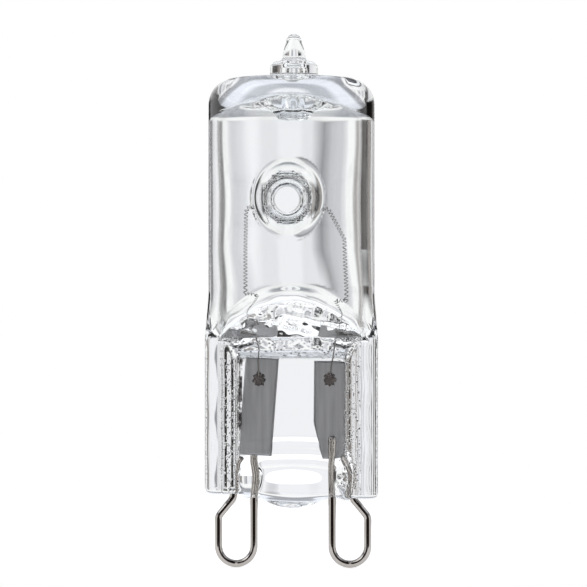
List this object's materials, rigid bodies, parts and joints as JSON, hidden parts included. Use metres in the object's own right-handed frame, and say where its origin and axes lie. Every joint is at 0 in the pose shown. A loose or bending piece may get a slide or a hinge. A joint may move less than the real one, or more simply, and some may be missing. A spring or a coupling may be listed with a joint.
{
  "type": "halogen capsule bulb",
  "caption": "Clear glass halogen capsule bulb with a flat pinched seal, sealed exhaust tip, dimple-held coil filament, foil seals and wire contact loops.",
  "frame": {"origin": "on the lamp's axis at the lower end of the pinched seal, midway between the two contact loops", "axes": "+Z from the contact loops towards the sealed exhaust tip, +X across the two loops, front face at -Y"},
  "size_m": [0.0138, 0.0132, 0.0426],
  "materials": {
    "clear_glass": "clear, fire polished",
    "tungsten": "drawn wire, grey",
    "lead_wire": "drawn wire",
    "weld_metal": "crumpled, dark",
    "molybdenum_foil": "rolled, satin",
    "nickel_wire": "bright drawn"
  },
  "bodies": {
    "root": {"glass_envelope": "clear_glass", "filament": "tungsten", "inner_lead_left": "lead_wire", "inner_lead_right": "lead_wire", "weld_tab_left": "weld_metal", "weld_tab_right": "weld_metal", "foil_left": "molybdenum_foil", "foil_right": "molybdenum_foil", "contact_loop_left": "nickel_wire", "contact_loop_right": "nickel_wire"}
  },
  "joints": []
}
